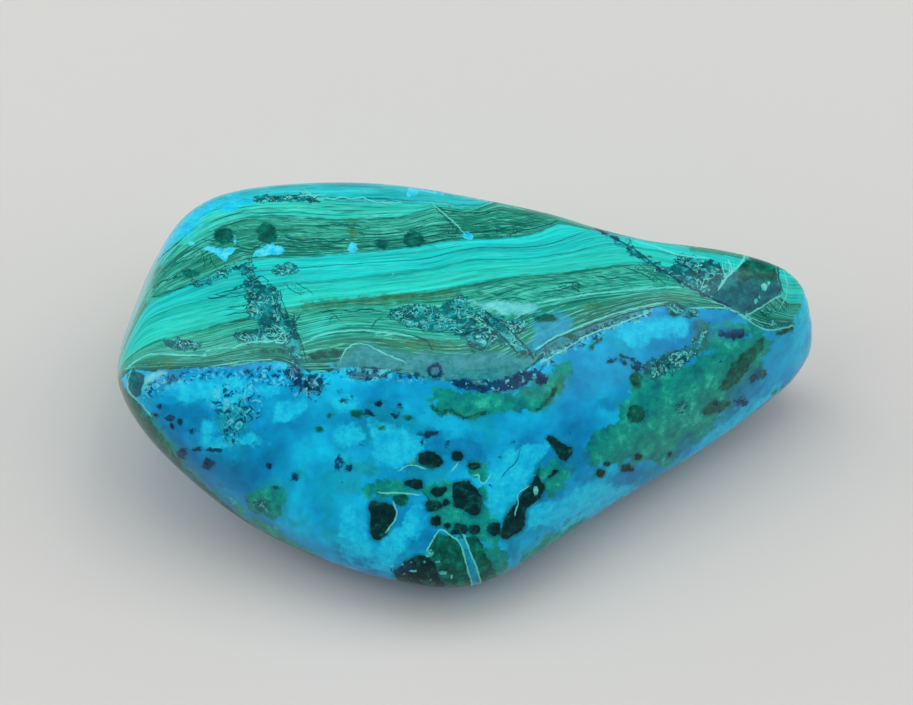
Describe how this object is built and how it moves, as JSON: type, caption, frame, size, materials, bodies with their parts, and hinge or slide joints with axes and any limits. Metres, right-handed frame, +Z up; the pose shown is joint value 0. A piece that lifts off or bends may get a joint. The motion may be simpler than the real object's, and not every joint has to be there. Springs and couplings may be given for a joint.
{
  "type": "polished malachite and chrysocolla stone",
  "caption": "Polished freeform stone with a banded green crown and a blue sloping front, broad at one end and tapering to a rounded nose, which rests on a small ground flat.",
  "frame": {"origin": "on the surface that the stone rests on, under the middle of its bounding box", "axes": "+X along the stone from its broad end to its nose, +Y to its back, +Z up through the crown"},
  "size_m": [0.0522, 0.032, 0.015],
  "materials": {
    "stone": "polished"
  },
  "bodies": {
    "root": {"stone": "stone"}
  },
  "joints": []
}
